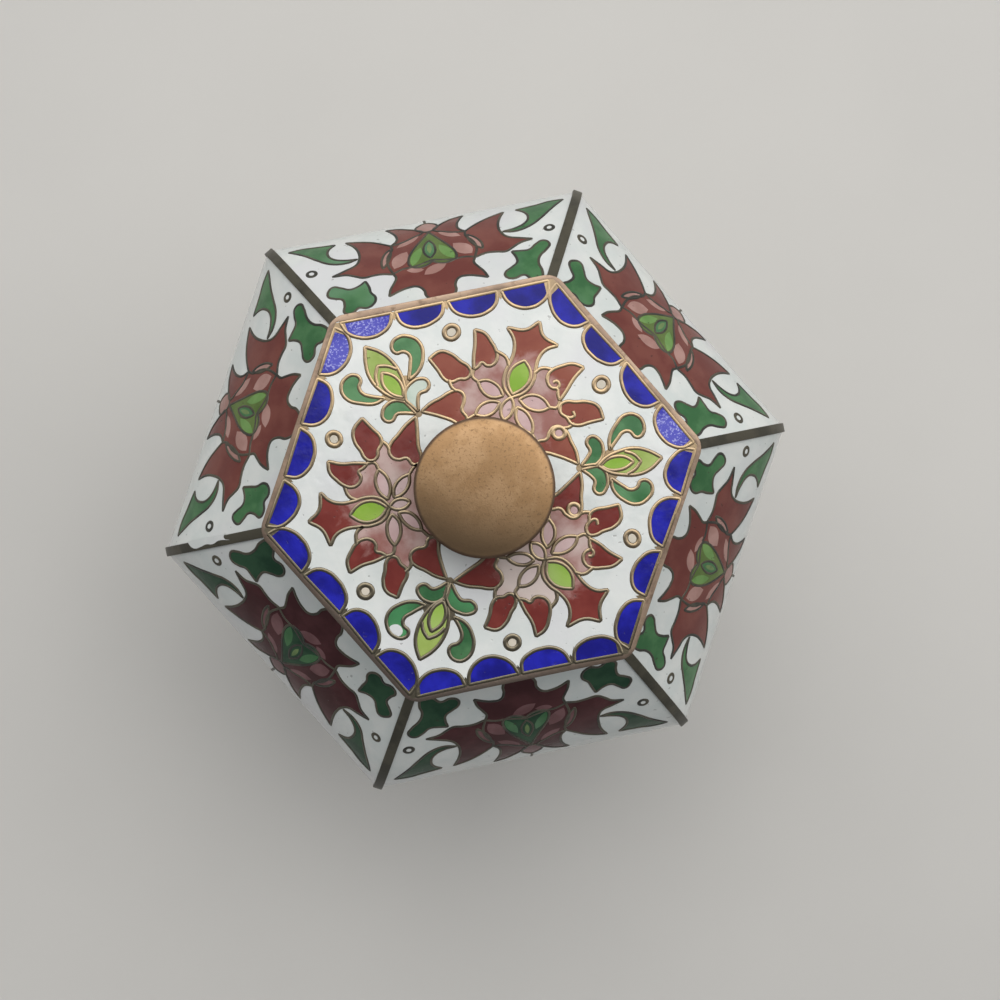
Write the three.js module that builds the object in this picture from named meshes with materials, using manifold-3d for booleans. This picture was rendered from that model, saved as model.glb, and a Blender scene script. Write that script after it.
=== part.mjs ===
// Hexagonal cloisonne ginger jar: a bulging six-sided body with a strip on each corner,
// a foot rim, a mouth rim, and a flat six-sided cap lid with a round button knob.
// Millimetres, +Z up. The origin is the centre of the foot's underside, and a corner lies on +X.
// The radius of a six-sided piece is always measured to its corners.
import * as THREE from "three";
import { mergeVertices } from "three/addons/utils/BufferGeometryUtils.js";
import Module from "manifold-3d";

const wasm = await Module();
wasm.setup();

const { CubicBezierCurve, MathUtils, Vector2 } = THREE;

// Body: heights above the ground
const SIDES = 6;
const FOOT_HEIGHT = 5; // the body stands on the foot rim at this height
const WIDEST_HEIGHT = 62;
const SEAT_HEIGHT = 83; // flat ledge that the lid rests on
const BOTTOM_RADIUS = 27.5;
const WIDEST_RADIUS = 44.3;
const BODY_WALL = 1.8; // copper with enamel on both faces
const FLOOR_THICKNESS = 2;
const BODY_STEPS = 22; // straight pieces in each of the two body curves

// Shape of the body curves: places of their handles, as shares of the way between the curve's ends
const LOWER_HANDLE_OUT = 0.44;
const LOWER_HANDLE_UP = 0.28;
const BELLY_HANDLE_UP = 0.69;
const SHOULDER_HANDLE_UP = 0.42;
const LEDGE_HANDLE_OUT = 0.6;
const SHOULDER_SLOPE = 34; // degrees below level, along a corner, where the shoulder leaves the ledge

// Foot rim
const FOOT_LIP = 0.7; // how far the rim stands out past the body
const FOOT_WALL = 2.4;

// Neck and mouth rim, inside the lid
const NECK_WALL = 1.5;
const MOUTH_RIM_HEIGHT = 1.6;
const MOUTH_RIM_LIP = 0.3;
const MOUTH_HEADROOM = 1.8; // between the mouth rim and the lid's ceiling
const LID_CLEARANCE = 0.6; // between the mouth rim and the lid's wall

// Lid
const LID_RADIUS = 26.6; // enamelled side of the cap
const LID_HEIGHT = 10;
const LID_WALL = 1.6;
const LID_TOP_THICKNESS = 1.6;
const EDGE_BAND_WIDTH = 0.75; // of the band around the top, seen from above
const EDGE_BAND_HEIGHT = 1.4;
const BAND_LIP = 0.4; // how far the edge band and the rim stand out past the lid's side
const LID_RIM_HEIGHT = 1.5;
const SEAT_MARGIN = 0.6; // ledge that shows around the lid

// Corner strips
const STRIP_WIDTH = 1.3;
const STRIP_THICKNESS = 0.35; // about as thick as the corner's sharp edge that it replaces
const STRIP_GAP = 0.1; // between a strip and the corner flat that it lies on
const FLAT_OVERRUN = 0.3; // how far the corner flats run on past the ends of the strips

// Knob
const KNOB_RADIUS = 8;
const KNOB_THICKNESS = 4.2;
const KNOB_CROWN = 0.35; // rise of the top face at its centre
const KNOB_EDGE = 1.1; // rounding between the top face and the side
const STEM_RADIUS = 2.8;
const STEM_HEIGHT = 4.4;
const FLANGE_LIP = 1.8; // how far the flange under the stem stands out past it
const FLANGE_HEIGHT = 1;
const ROUND_STEPS = 48; // sides of the round knob
const ARC_STEPS = 5; // straight pieces in each rounding of the knob's outline

const MERGE_DISTANCE = 1e-4;

// Heights and radii that follow from the sizes above
const FLAT_SHARE = Math.cos(Math.PI / SIDES); // distance to a flat over distance to a corner
const lidBandRadius = LID_RADIUS + BAND_LIP;
const edgeBandInner = lidBandRadius - EDGE_BAND_WIDTH / FLAT_SHARE;
const seatRadius = lidBandRadius + SEAT_MARGIN;
const lidInnerRadius = LID_RADIUS - LID_WALL;
const mouthRimRadius = lidInnerRadius - LID_CLEARANCE;
const neckRadius = mouthRimRadius - MOUTH_RIM_LIP;
const neckInnerRadius = neckRadius - NECK_WALL;
const lidTop = SEAT_HEIGHT + LID_HEIGHT;
const lidCeiling = lidTop - LID_TOP_THICKNESS;
const neckTop = lidCeiling - MOUTH_HEADROOM - MOUTH_RIM_HEIGHT;
const floorTop = FOOT_HEIGHT + FLOOR_THICKNESS;
const footRadius = BOTTOM_RADIUS + FOOT_LIP;
const stripInset = (STRIP_WIDTH / 2) * Math.tan(Math.PI / SIDES); // depth of a flat as wide as a strip

// The rounding on the knob is never larger than the metal that carries it.
const knobEdge = Math.min(KNOB_EDGE, KNOB_THICKNESS / 3);

function finish(name, color, roughness, metalness) {
  return new THREE.MeshStandardMaterial({ name, color, roughness, metalness });
}

const enamel = finish("white enamel", 0xdfe5e3, 0.16, 0);
const brass = finish("aged brass", 0x9c7444, 0.45, 1);
const gilt = finish("gilt brass", 0xb08a5e, 0.35, 1);
const darkBrass = finish("darkened brass", 0x4a4238, 0.4, 1);

// Body curve in the upright plane through a corner: x is the corner radius, y the height.
function bodyCurve() {
  const heightAt = (share) => MathUtils.lerp(FOOT_HEIGHT, WIDEST_HEIGHT, share);
  const lower = new CubicBezierCurve(
    new Vector2(BOTTOM_RADIUS, FOOT_HEIGHT),
    new Vector2(MathUtils.lerp(BOTTOM_RADIUS, WIDEST_RADIUS, LOWER_HANDLE_OUT), heightAt(LOWER_HANDLE_UP)),
    new Vector2(WIDEST_RADIUS, heightAt(BELLY_HANDLE_UP)),
    new Vector2(WIDEST_RADIUS, WIDEST_HEIGHT),
  );
  const run = (WIDEST_RADIUS - seatRadius) * LEDGE_HANDLE_OUT;
  const drop = run * Math.tan(MathUtils.degToRad(SHOULDER_SLOPE));
  const shoulder = new CubicBezierCurve(
    new Vector2(WIDEST_RADIUS, WIDEST_HEIGHT),
    new Vector2(WIDEST_RADIUS, MathUtils.lerp(WIDEST_HEIGHT, SEAT_HEIGHT, SHOULDER_HANDLE_UP)),
    new Vector2(seatRadius + run, SEAT_HEIGHT - drop),
    new Vector2(seatRadius, SEAT_HEIGHT),
  );
  const curve = new THREE.CurvePath();
  curve.add(lower);
  curve.add(shoulder);
  return curve;
}

const profilePoints = bodyCurve().getPoints(BODY_STEPS);

// Points moved by a distance at right angles to the curve through them; positive is outwards.
function offsetPoints(points, distance) {
  return points.map((point, i) => {
    const before = points[Math.max(i - 1, 0)];
    const after = points[Math.min(i + 1, points.length - 1)];
    const along = after.clone().sub(before).normalize();
    return new Vector2(point.x + along.y * distance, point.y - along.x * distance);
  });
}

// The inner face of the wall from the floor to the neck, one wall thickness in from the flat panels.
function innerWallPoints() {
  const flat = profilePoints.map((p) => new Vector2(p.x * FLAT_SHARE, p.y));
  const wall = offsetPoints(flat, -BODY_WALL).map((p) => new Vector2(p.x / FLAT_SHARE, p.y));
  const above = wall.findIndex((p) => p.y > floorTop);
  const share = MathUtils.inverseLerp(wall[above - 1].y, wall[above].y, floorTop);
  const atFloor = wall[above - 1].clone().lerp(wall[above], share);
  const ceiling = SEAT_HEIGHT - BODY_WALL;
  const sides = wall.slice(above).filter((p) => p.y < ceiling && p.x > neckInnerRadius);
  return [atFloor, ...sides];
}

// A solid turned about Z with a given number of sides, the first corner on +X.
function turned(profile, sides) {
  const geometry = new THREE.LatheGeometry(profile, sides, Math.PI / 2, Math.PI * 2);
  return geometry.rotateX(Math.PI / 2);
}

// A six-sided ring of rectangular section, given its corner radii and heights.
function hexRing(innerRadius, outerRadius, bottom, top) {
  const section = [
    new Vector2(innerRadius, bottom),
    new Vector2(outerRadius, bottom),
    new Vector2(outerRadius, top),
    new Vector2(innerRadius, top),
    new Vector2(innerRadius, bottom),
  ];
  return turned(section, SIDES);
}

// A band of metal in the upright plane of the corner on +X, between two offsets of the body curve.
// With an overrun it runs on past both ends, as the cutter of the corner flats does.
function cornerBand(inset, proud, width, overrun) {
  const path = [...profilePoints];
  if (overrun > 0) {
    const first = profilePoints[0];
    const last = profilePoints[profilePoints.length - 1];
    const slope = MathUtils.degToRad(SHOULDER_SLOPE);
    path.unshift(new Vector2(first.x, first.y - overrun));
    path.push(new Vector2(last.x - overrun * Math.cos(slope), last.y + overrun * Math.sin(slope)));
  }
  const outline = [...offsetPoints(path, proud), ...offsetPoints(path, -inset).reverse()];
  if (overrun === 0) {
    outline.forEach((p) => p.setY(Math.max(p.y, FOOT_HEIGHT)));
  }
  const shape = new THREE.Shape(outline);
  const geometry = new THREE.ExtrudeGeometry(shape, { depth: width, bevelEnabled: false });
  return geometry.translate(0, 0, -width / 2).rotateX(Math.PI / 2);
}

function toSolid(geometry) {
  const bare = new THREE.BufferGeometry();
  bare.setAttribute("position", geometry.getAttribute("position"));
  if (geometry.index) {
    bare.setIndex(geometry.index);
  }
  const merged = mergeVertices(bare, MERGE_DISTANCE);
  const vertProperties = merged.getAttribute("position").array;
  const triVerts = new Uint32Array(merged.index.array);
  return new wasm.Manifold(new wasm.Mesh({ numProp: 3, vertProperties, triVerts }));
}

function toGeometry(solid) {
  const mesh = solid.getMesh();
  const geometry = new THREE.BufferGeometry();
  geometry.setAttribute("position", new THREE.BufferAttribute(mesh.vertProperties, 3));
  geometry.setIndex(new THREE.BufferAttribute(mesh.triVerts, 1));
  geometry.computeVertexNormals();
  return geometry;
}

// Hollow body with its floor and neck, and a flat on each corner for the strips.
function bodyGeometry() {
  const profile = [
    new Vector2(0, FOOT_HEIGHT),
    ...profilePoints,
    new Vector2(neckRadius, SEAT_HEIGHT),
    new Vector2(neckRadius, neckTop),
    new Vector2(neckInnerRadius, neckTop),
    new Vector2(neckInnerRadius, SEAT_HEIGHT - BODY_WALL),
    ...innerWallPoints().reverse(),
    new Vector2(0, floorTop),
  ];
  const cutterWidth = STRIP_WIDTH * 4;
  const cutterProud = STRIP_WIDTH * 1.5; // well outside the corner
  const cutter = toSolid(cornerBand(stripInset + STRIP_GAP, cutterProud, cutterWidth, FLAT_OVERRUN));
  let body = toSolid(turned(profile, SIDES));
  for (let i = 0; i < SIDES; i++) {
    body = body.subtract(cutter.rotate([0, 0, (360 / SIDES) * i]));
  }
  return toGeometry(body);
}

// Hollow cap, open below, with a rebate around its top for the edge band.
function lidCapGeometry() {
  const rebateBottom = lidTop - EDGE_BAND_HEIGHT;
  const sideBottom = SEAT_HEIGHT + LID_RIM_HEIGHT;
  const profile = [
    new Vector2(0, lidCeiling),
    new Vector2(lidInnerRadius, lidCeiling),
    new Vector2(lidInnerRadius, sideBottom),
    new Vector2(LID_RADIUS, sideBottom),
    new Vector2(LID_RADIUS, rebateBottom),
    new Vector2(edgeBandInner, rebateBottom),
    new Vector2(edgeBandInner, lidTop),
    new Vector2(0, lidTop),
  ];
  return turned(profile, SIDES);
}

// Button knob: flange, stem, then a round button with a softened edge and a low crown.
function knobGeometry() {
  const underside = lidTop + STEM_HEIGHT;
  const face = underside + KNOB_THICKNESS - KNOB_CROWN;
  const flangeRadius = STEM_RADIUS + FLANGE_LIP;
  const outline = new THREE.Path();
  outline.moveTo(0, lidTop);
  outline.lineTo(flangeRadius, lidTop);
  outline.lineTo(flangeRadius, lidTop + FLANGE_HEIGHT);
  outline.lineTo(STEM_RADIUS, lidTop + FLANGE_HEIGHT);
  outline.lineTo(STEM_RADIUS, underside);
  outline.lineTo(KNOB_RADIUS - knobEdge, underside);
  outline.quadraticCurveTo(KNOB_RADIUS, underside, KNOB_RADIUS, underside + knobEdge);
  outline.lineTo(KNOB_RADIUS, face - knobEdge);
  outline.quadraticCurveTo(KNOB_RADIUS, face, KNOB_RADIUS - knobEdge, face);
  outline.quadraticCurveTo(KNOB_RADIUS / 2, face + KNOB_CROWN, 0, face + KNOB_CROWN);
  return turned(outline.getPoints(ARC_STEPS), ROUND_STEPS);
}

const jar = new THREE.Group();

function addPiece(name, geometry, material) {
  const piece = new THREE.Mesh(geometry, material);
  piece.name = name;
  jar.add(piece);
  return piece;
}

// Jar
addPiece("jar_body", bodyGeometry(), enamel);
addPiece("foot_rim", hexRing(footRadius - FOOT_WALL / FLAT_SHARE, footRadius, 0, FOOT_HEIGHT), brass);
addPiece("mouth_rim", hexRing(neckInnerRadius, mouthRimRadius, neckTop, neckTop + MOUTH_RIM_HEIGHT), gilt);

const stripGeometry = cornerBand(stripInset, STRIP_THICKNESS - stripInset, STRIP_WIDTH, 0);
for (let i = 0; i < SIDES; i++) {
  const strip = addPiece(`corner_strip_${i + 1}`, stripGeometry, darkBrass);
  strip.rotation.z = ((Math.PI * 2) / SIDES) * i;
}

// Lid, lifted off as one
addPiece("lid_cap", lidCapGeometry(), enamel);
addPiece("lid_edge_band", hexRing(edgeBandInner, lidBandRadius, lidTop - EDGE_BAND_HEIGHT, lidTop), gilt);
addPiece("lid_rim", hexRing(lidInnerRadius, lidBandRadius, SEAT_HEIGHT, SEAT_HEIGHT + LID_RIM_HEIGHT), gilt);
addPiece("lid_knob", knobGeometry(), brass);

export default jar;
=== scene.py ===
# Cloisonne ginger jar: smooth shells, inlaid enamel cells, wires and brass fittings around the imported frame
import bisect
import bpy
import bmesh
import itertools
import math
from mathutils import Matrix, Vector, noise
from mathutils.geometry import interpolate_bezier


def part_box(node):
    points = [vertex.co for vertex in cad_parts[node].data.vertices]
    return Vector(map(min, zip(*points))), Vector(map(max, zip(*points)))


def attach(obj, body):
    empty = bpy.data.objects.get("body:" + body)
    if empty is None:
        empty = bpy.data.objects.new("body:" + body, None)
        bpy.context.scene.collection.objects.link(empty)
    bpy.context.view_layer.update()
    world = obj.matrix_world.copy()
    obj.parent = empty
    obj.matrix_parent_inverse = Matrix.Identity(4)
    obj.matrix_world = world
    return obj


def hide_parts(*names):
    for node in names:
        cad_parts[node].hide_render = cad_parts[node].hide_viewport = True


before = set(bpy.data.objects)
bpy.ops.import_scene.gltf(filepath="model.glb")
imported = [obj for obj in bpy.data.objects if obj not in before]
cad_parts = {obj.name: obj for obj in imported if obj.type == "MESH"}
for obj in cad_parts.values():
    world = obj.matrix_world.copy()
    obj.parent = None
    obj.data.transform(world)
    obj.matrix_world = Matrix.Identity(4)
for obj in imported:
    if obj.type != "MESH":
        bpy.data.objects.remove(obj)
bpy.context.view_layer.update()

mm = 0.001  # lengths in the settings below are millimetres
sides = 6
sixth = 2 * math.pi / sides
flatShare = math.cos(math.pi / sides)  # distance to a flat over distance to a corner
slack = 0.1  # for telling which surface a face lies on
weldDistance = 0.002
squareFold = math.radians(70)  # an edge that folds more than this is a square one


def nodeBox(name):
    low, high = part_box(name)
    return Vector(low) / mm, Vector(high) / mm


def innerRadius(name):  # smallest corner radius of a ring node
    return min(v.co.xy.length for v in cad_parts[name].data.vertices) / mm


def panelAngle(number):  # where the middle of a side faces, in degrees from +X
    return 30 + 60 * number


footTop = nodeBox("foot_rim")[1].z
seatHeight = nodeBox("lid_rim")[0].z
lidTop = nodeBox("lid_cap")[1].z
lidRadius = nodeBox("lid_cap")[1].x
bandInner = innerRadius("lid_edge_band")
neckTop = nodeBox("jar_body")[1].z
neckInner = innerRadius("mouth_rim")
print("frame read: seat", round(seatHeight, 2), "lid top", round(lidTop, 2))


# Shader nodes

def addNode(tree, kind, inputs=None, **settings):
    made = tree.nodes.new("ShaderNode" + kind)
    for key, value in settings.items():
        setattr(made, key, value)
    for key, value in (inputs or {}).items():
        if isinstance(value, bpy.types.NodeSocket):
            tree.links.new(value, made.inputs[key])
        else:
            made.inputs[key].default_value = value
    return made


mixSockets = {"factor": 0, "first": 6, "second": 7, "result": 2}  # those of a Mix node set to colours


def mixColours(tree, factor, first, second):
    made = addNode(tree, "Mix", data_type="RGBA")
    for key, value in (("factor", factor), ("first", first), ("second", second)):
        socket = made.inputs[mixSockets[key]]
        if isinstance(value, bpy.types.NodeSocket):
            tree.links.new(value, socket)
        else:
            socket.default_value = (*value, 1)
    return made.outputs[mixSockets["result"]]


def rampValue(tree, value, low, high, outLow=0.0, outHigh=1.0):
    made = addNode(tree, "MapRange", {"Value": value, "From Min": low, "From Max": high,
                                      "To Min": outLow, "To Max": outHigh}, interpolation_type="SMOOTHSTEP")
    return made.outputs["Result"]


def noiseValue(tree, place, scale, detail=3.0, rough=0.55, distortion=0.0):
    made = addNode(tree, "TexNoise", {"Vector": place, "Scale": scale, "Detail": detail,
                                      "Roughness": rough, "Distortion": distortion})
    return made.outputs["Fac"]


def startMaterial(name, **shaderValues):
    made = bpy.data.materials.new(name)
    made.use_nodes = True
    tree = made.node_tree
    shader = tree.nodes["Principled BSDF"]
    for key, value in shaderValues.items():
        shader.inputs[key.replace("_", " ")].default_value = value
    place = addNode(tree, "TexCoord").outputs["Object"]
    return made, tree, shader, place


def openMaterial(made):  # a finished material again: its tree, its places and the colour that its shader gets
    tree = made.node_tree
    base = tree.nodes["Principled BSDF"].inputs["Base Color"]
    place = addNode(tree, "TexCoord").outputs["Object"]
    flat = addNode(tree, "VectorMath", {0: place, 1: (1, 1, 0)}, operation="MULTIPLY").outputs["Vector"]
    return tree, base, place, flat, base.links[0].from_socket


# Fired enamel: two shades that drift into each other, pits, a wavy polished surface,
# and for some colours a blush that runs in from the heart of the flower

enamelLook = {
    "driftScale": 260, "driftRange": (0.36, 0.66),  # between the two shades
    "cloudScale": 55, "cloudEdge": 0.16,
    "blushScale": 416, "blushRagged": 1.25, "blushRange": (1.3, 1.78),
    "pitScale": 1500, "pitRange": (0.735, 0.775), "pitColour": (0.05, 0.035, 0.03),
    "pitDent": 0.35, "pitDepth": 0.00008,
    "waveScale": 420, "wave": 0.16, "waveHeight": 0.0004,
    "grainScale": 2600, "grainHeight": 0.00006,
}


def enamel(name, deep, pale, rough=0.13, cloud=None, cloudShare=0.5, blush=None, pit=0.5, grain=0.1, gloss=0.25):
    look = enamelLook
    made, tree, shader, place = startMaterial(name, Roughness=rough, Specular_IOR_Level=gloss)
    drift = rampValue(tree, noiseValue(tree, place, look["driftScale"], 4), *look["driftRange"])
    colour = mixColours(tree, drift, deep, pale)
    if cloud:
        clouds = noiseValue(tree, place, look["cloudScale"], 3)
        patches = rampValue(tree, clouds, cloudShare, cloudShare + look["cloudEdge"])
        colour = mixColours(tree, patches, colour, cloud)
    if blush:
        spot = addNode(tree, "UVMap", uv_map="blush").outputs["UV"]
        reach = addNode(tree, "VectorMath", {0: spot}, operation="LENGTH").outputs["Value"]
        ragged = noiseValue(tree, place, look["blushScale"], 4, 0.62, 0.5)
        edge = addNode(tree, "Math", {0: ragged, 1: look["blushRagged"], 2: reach}, operation="MULTIPLY_ADD")
        inside = rampValue(tree, edge.outputs["Value"], *look["blushRange"], 1.0, 0.0)
        colour = mixColours(tree, inside, colour, blush)
    pits = rampValue(tree, noiseValue(tree, place, look["pitScale"], 1, 0.5), *look["pitRange"])
    pitAmount = addNode(tree, "Math", {0: pits, 1: pit}, operation="MULTIPLY").outputs["Value"]
    colour = mixColours(tree, pitAmount, colour, look["pitColour"])
    tree.links.new(colour, shader.inputs["Base Color"])
    waves = noiseValue(tree, place, look["waveScale"], 2)
    swell = addNode(tree, "Bump", {"Height": waves, "Strength": look["wave"], "Distance": look["waveHeight"]})
    fine = noiseValue(tree, place, look["grainScale"], 3)
    skin = addNode(tree, "Bump", {"Height": fine, "Strength": grain, "Distance": look["grainHeight"],
                                  "Normal": swell.outputs["Normal"]})
    dents = addNode(tree, "Bump", {"Height": pits, "Strength": look["pitDent"], "Distance": look["pitDepth"],
                                   "Normal": skin.outputs["Normal"]}, invert=True)
    tree.links.new(dents.outputs["Normal"], shader.inputs["Normal"])
    return made


# The glazed blue of the border, paler and sparkling near two of the corners: painted glare with painted glints,
# where the lamps catch rough enamel
glarePatches = {"spots": ((-9.6, 21.0), (-13.4, 18.8), (23.0, 2.2)), "radius": 3.6, "core": 0.3,
         "tint": (0.10, 0.10, 0.52), "glint": (0.42, 0.43, 0.80), "scale": 4200, "glintRange": (0.52, 0.66)}


def blueEnamel():
    made = enamel("blue enamel", (0.010, 0.010, 0.20), (0.020, 0.022, 0.42), rough=0.16, pit=0.25, grain=0.3)
    tree, base, place, flat, colour = openMaterial(made)
    # painted glints and a painted glare tint around each spot
    glints = rampValue(tree, noiseValue(tree, place, glarePatches["scale"], 2), *glarePatches["glintRange"])
    core, radius = glarePatches["radius"] * glarePatches["core"] * mm, glarePatches["radius"] * mm
    for x, y in glarePatches["spots"]:
        away = addNode(tree, "VectorMath", {0: flat, 1: (x * mm, y * mm, 0)}, operation="DISTANCE")
        near = rampValue(tree, away.outputs["Value"], core, radius, 1.0, 0.0)
        colour = mixColours(tree, near, colour, glarePatches["tint"])
        share = addNode(tree, "Math", {0: near, 1: glints}, operation="MULTIPLY").outputs["Value"]
        colour = mixColours(tree, share, colour, glarePatches["glint"])
    tree.links.new(colour, base)
    return made


# Aged metals, with painted shade on the side away from the lamps

metalLook = {
    "ageScale": 210, "ageRange": (0.42, 0.6), "dirtRange": (0.52, 0.70), "grainHeight": 0.00008,
    "litSide": (0.5, 0.866, 0),  # painted shade grows away from here, the side that the lamps light
    "scratches": ((0.35, 9.0), (2.0, 12.0), (1.2, 16.0)),  # the turn of each set, and how thin it is
    "scratchScale": 300, "scratchRange": (0.70, 0.73), "scratchDepth": 0.00005,
}
# the knob: painted shade on its side away from the lamps, and a ring of painted shade at its rim
knobLook = {"bright": (0.41, 0.26, 0.14), "dull": (0.33, 0.20, 0.10), "spots": (0.22, 0.135, 0.072),
            "paintedShade": (-8.0, 1.5, (0.205, 0.135, 0.078)),
            "rimLine": (7.55, 7.85), "rimShadeColour": (0.10, 0.065, 0.045)}


def metal(name, bright, dull, rough, scratch=0.0, grain=0.2, metallic=1.0, spots=None, speckle=900,
          grainScale=2400, paintedShade=None, gloss=0.5):
    look = metalLook
    made, tree, shader, place = startMaterial(name, Roughness=rough, Metallic=metallic, Specular_IOR_Level=gloss)
    age = rampValue(tree, noiseValue(tree, place, look["ageScale"], 5, 0.6), *look["ageRange"])
    colour = mixColours(tree, age, bright, dull)
    if spots:
        dirt = rampValue(tree, noiseValue(tree, place, speckle, 4, 0.65), *look["dirtRange"])
        colour = mixColours(tree, dirt, colour, spots)
    if paintedShade:  # painted shade: darker towards the side of the jar away from the lamps
        start, end, dark = paintedShade
        along = addNode(tree, "VectorMath", {0: place, 1: look["litSide"]}, operation="DOT_PRODUCT")
        colour = mixColours(tree, rampValue(tree, along.outputs["Value"], start * mm, end * mm), dark, colour)
    tree.links.new(colour, shader.inputs["Base Color"])
    fine = noiseValue(tree, place, grainScale, 3)
    skin = addNode(tree, "Bump", {"Height": fine, "Strength": grain, "Distance": look["grainHeight"]})
    normal = skin.outputs["Normal"]
    for angle, thin in look["scratches"] if scratch else ():
        turned = addNode(tree, "Mapping", {"Vector": place, "Rotation": (0, 0, angle), "Scale": (1, thin, 1)})
        lines = noiseValue(tree, turned.outputs["Vector"], look["scratchScale"], 2, 0.5)
        cut = rampValue(tree, lines, *look["scratchRange"])
        normal = addNode(tree, "Bump", {"Height": cut, "Strength": scratch, "Distance": look["scratchDepth"],
                                        "Normal": normal}).outputs["Normal"]
    tree.links.new(normal, shader.inputs["Normal"])
    return made


def knobBrass():  # worn satin brass with a line of painted shade around its rounded edge
    k = knobLook
    made = metal("satin brass", k["bright"], k["dull"], 0.33, scratch=0.08, grain=0.12, spots=k["spots"],
                 speckle=3200, grainScale=5200, paintedShade=k["paintedShade"])
    tree, base, place, flat, colour = openMaterial(made)
    away = addNode(tree, "VectorMath", {0: flat}, operation="LENGTH").outputs["Value"]
    start, end = k["rimLine"]
    line = rampValue(tree, away, start * mm, end * mm)
    tree.links.new(mixColours(tree, line, colour, k["rimShadeColour"]), base)
    return made


materials = {
    "white": enamel("white enamel", (0.69, 0.725, 0.71), (0.76, 0.78, 0.76), cloud=(0.71, 0.72, 0.73), pit=0.35,
                    gloss=1.0),
    # the lid's white enamel made darker for the body: painted shade
    "shadedWhite": enamel("white enamel with painted shade", (0.64, 0.68, 0.665), (0.71, 0.73, 0.71),
                        cloud=(0.66, 0.67, 0.68), pit=0.35, gloss=0.3),
    "red": enamel("red enamel", (0.165, 0.030, 0.026), (0.215, 0.045, 0.037), blush=(0.42, 0.24, 0.22)),
    "flush": enamel("flushed enamel", (0.34, 0.15, 0.13), (0.56, 0.40, 0.37), cloud=(0.66, 0.56, 0.52)),
    "panelRed": enamel("brownish red enamel", (0.155, 0.050, 0.043), (0.195, 0.070, 0.057), gloss=0.12),
    # darker copies of the panel colours, with painted shade, for the two panels that face away from the lamps
    "paintedShadeRed": enamel("red enamel with painted shade", (0.062, 0.022, 0.024), (0.092, 0.034, 0.037), gloss=0.12),
    "panelPink": enamel("dull pink enamel", (0.34, 0.19, 0.165), (0.43, 0.26, 0.23), gloss=0.12),
    "paintedShadePink": enamel("pink enamel with painted shade", (0.16, 0.078, 0.082), (0.22, 0.115, 0.12), gloss=0.12),
    "panelGreen": enamel("mottled green enamel", (0.050, 0.140, 0.060), (0.085, 0.20, 0.090),
                         cloud=(0.15, 0.28, 0.17), cloudShare=0.56, gloss=0.12),
    "moss": enamel("moss green enamel", (0.095, 0.15, 0.042), (0.14, 0.20, 0.065), gloss=0.12),
    "paintedShadeGreen": enamel("green enamel with painted shade", (0.020, 0.056, 0.032), (0.038, 0.090, 0.050), gloss=0.12),
    "mist": enamel("pale misty enamel", (0.45, 0.58, 0.48), (0.60, 0.68, 0.60), cloud=(0.12, 0.30, 0.16),
                   cloudShare=0.55),
    "paleRed": enamel("paler red enamel", (0.245, 0.060, 0.040), (0.29, 0.085, 0.055), cloud=(0.40, 0.20, 0.16),
                      cloudShare=0.56, blush=(0.50, 0.30, 0.28)),
    "pink": enamel("pink enamel", (0.58, 0.39, 0.39), (0.66, 0.48, 0.47), cloud=(0.68, 0.56, 0.54), pit=0.4),
    "green": enamel("leaf green enamel", (0.034, 0.115, 0.046), (0.080, 0.20, 0.088), cloud=(0.085, 0.32, 0.13),
                    cloudShare=0.53),
    # a brighter copy of the leaf green: painted light for the sprays that face the lamps
    "litGreen": enamel("leaf green enamel with painted light", (0.050, 0.160, 0.062), (0.115, 0.27, 0.12),
                         cloud=(0.22, 0.44, 0.24), cloudShare=0.54),
    "leafShade": enamel("shaded green enamel", (0.035, 0.085, 0.035), (0.070, 0.135, 0.055)),
    "sage": enamel("sage enamel", (0.11, 0.19, 0.065), (0.18, 0.27, 0.10)),
    "leafPale": enamel("light leaf enamel", (0.13, 0.26, 0.075), (0.19, 0.33, 0.11), gloss=0.12),
    "lime": enamel("lime enamel", (0.24, 0.43, 0.045), (0.33, 0.50, 0.09), cloud=(0.38, 0.52, 0.16)),
    "olive": enamel("pale bud enamel", (0.31, 0.42, 0.10), (0.41, 0.51, 0.16)),
    "cream": enamel("cream enamel", (0.60, 0.55, 0.46), (0.66, 0.60, 0.50)),
    "blue": blueEnamel(),
    "turquoise": enamel("counter enamel", (0.03, 0.26, 0.33), (0.06, 0.38, 0.44), pit=0.7),
    # the wire and the gilt band get painted shade on the side away from the lamps
    "wire": metal("cloison wire", (0.41, 0.30, 0.18), (0.30, 0.225, 0.145), 0.30,
                  paintedShade=(-20.0, 10.0, (0.165, 0.145, 0.105))),
    "darkWire": metal("oxidised cloison wire", (0.10, 0.09, 0.065), (0.05, 0.05, 0.042), 0.5, metallic=0.4),
    "gilt": metal("gilt band", (0.31, 0.225, 0.165), (0.22, 0.16, 0.12), 0.38,
                  spots=(0.19, 0.135, 0.095), paintedShade=(-24.0, -6.0, (0.19, 0.15, 0.125))),
    "brass": metal("foot brass", (0.47, 0.30, 0.16), (0.37, 0.225, 0.115), 0.40, scratch=0.12,
                   spots=(0.30, 0.19, 0.10), speckle=2000),
    "knobBrass": knobBrass(),
    # the corner strips' dark colour is painted shade on the brass
    "strip": metal("brass strip with painted shade", (0.085, 0.078, 0.058), (0.055, 0.052, 0.040), 0.45, scratch=0.1,
                   grain=0.3, metallic=0.15, gloss=0.2),
}
print("materials made:", len(materials))


def finishPiece(bm, name, finish, replaced=(), sharpAngle=32):
    mesh = bpy.data.meshes.new(name)
    bm.to_mesh(mesh)
    bm.free()
    for face in mesh.polygons:
        face.use_smooth = True
    mesh.set_sharp_from_angle(angle=math.radians(sharpAngle))
    mesh.materials.append(materials[finish])
    piece = bpy.data.objects.new(name, mesh)
    bpy.context.scene.collection.objects.link(piece)
    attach(piece, "root")
    if replaced:
        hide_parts(*replaced)
    return piece


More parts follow.
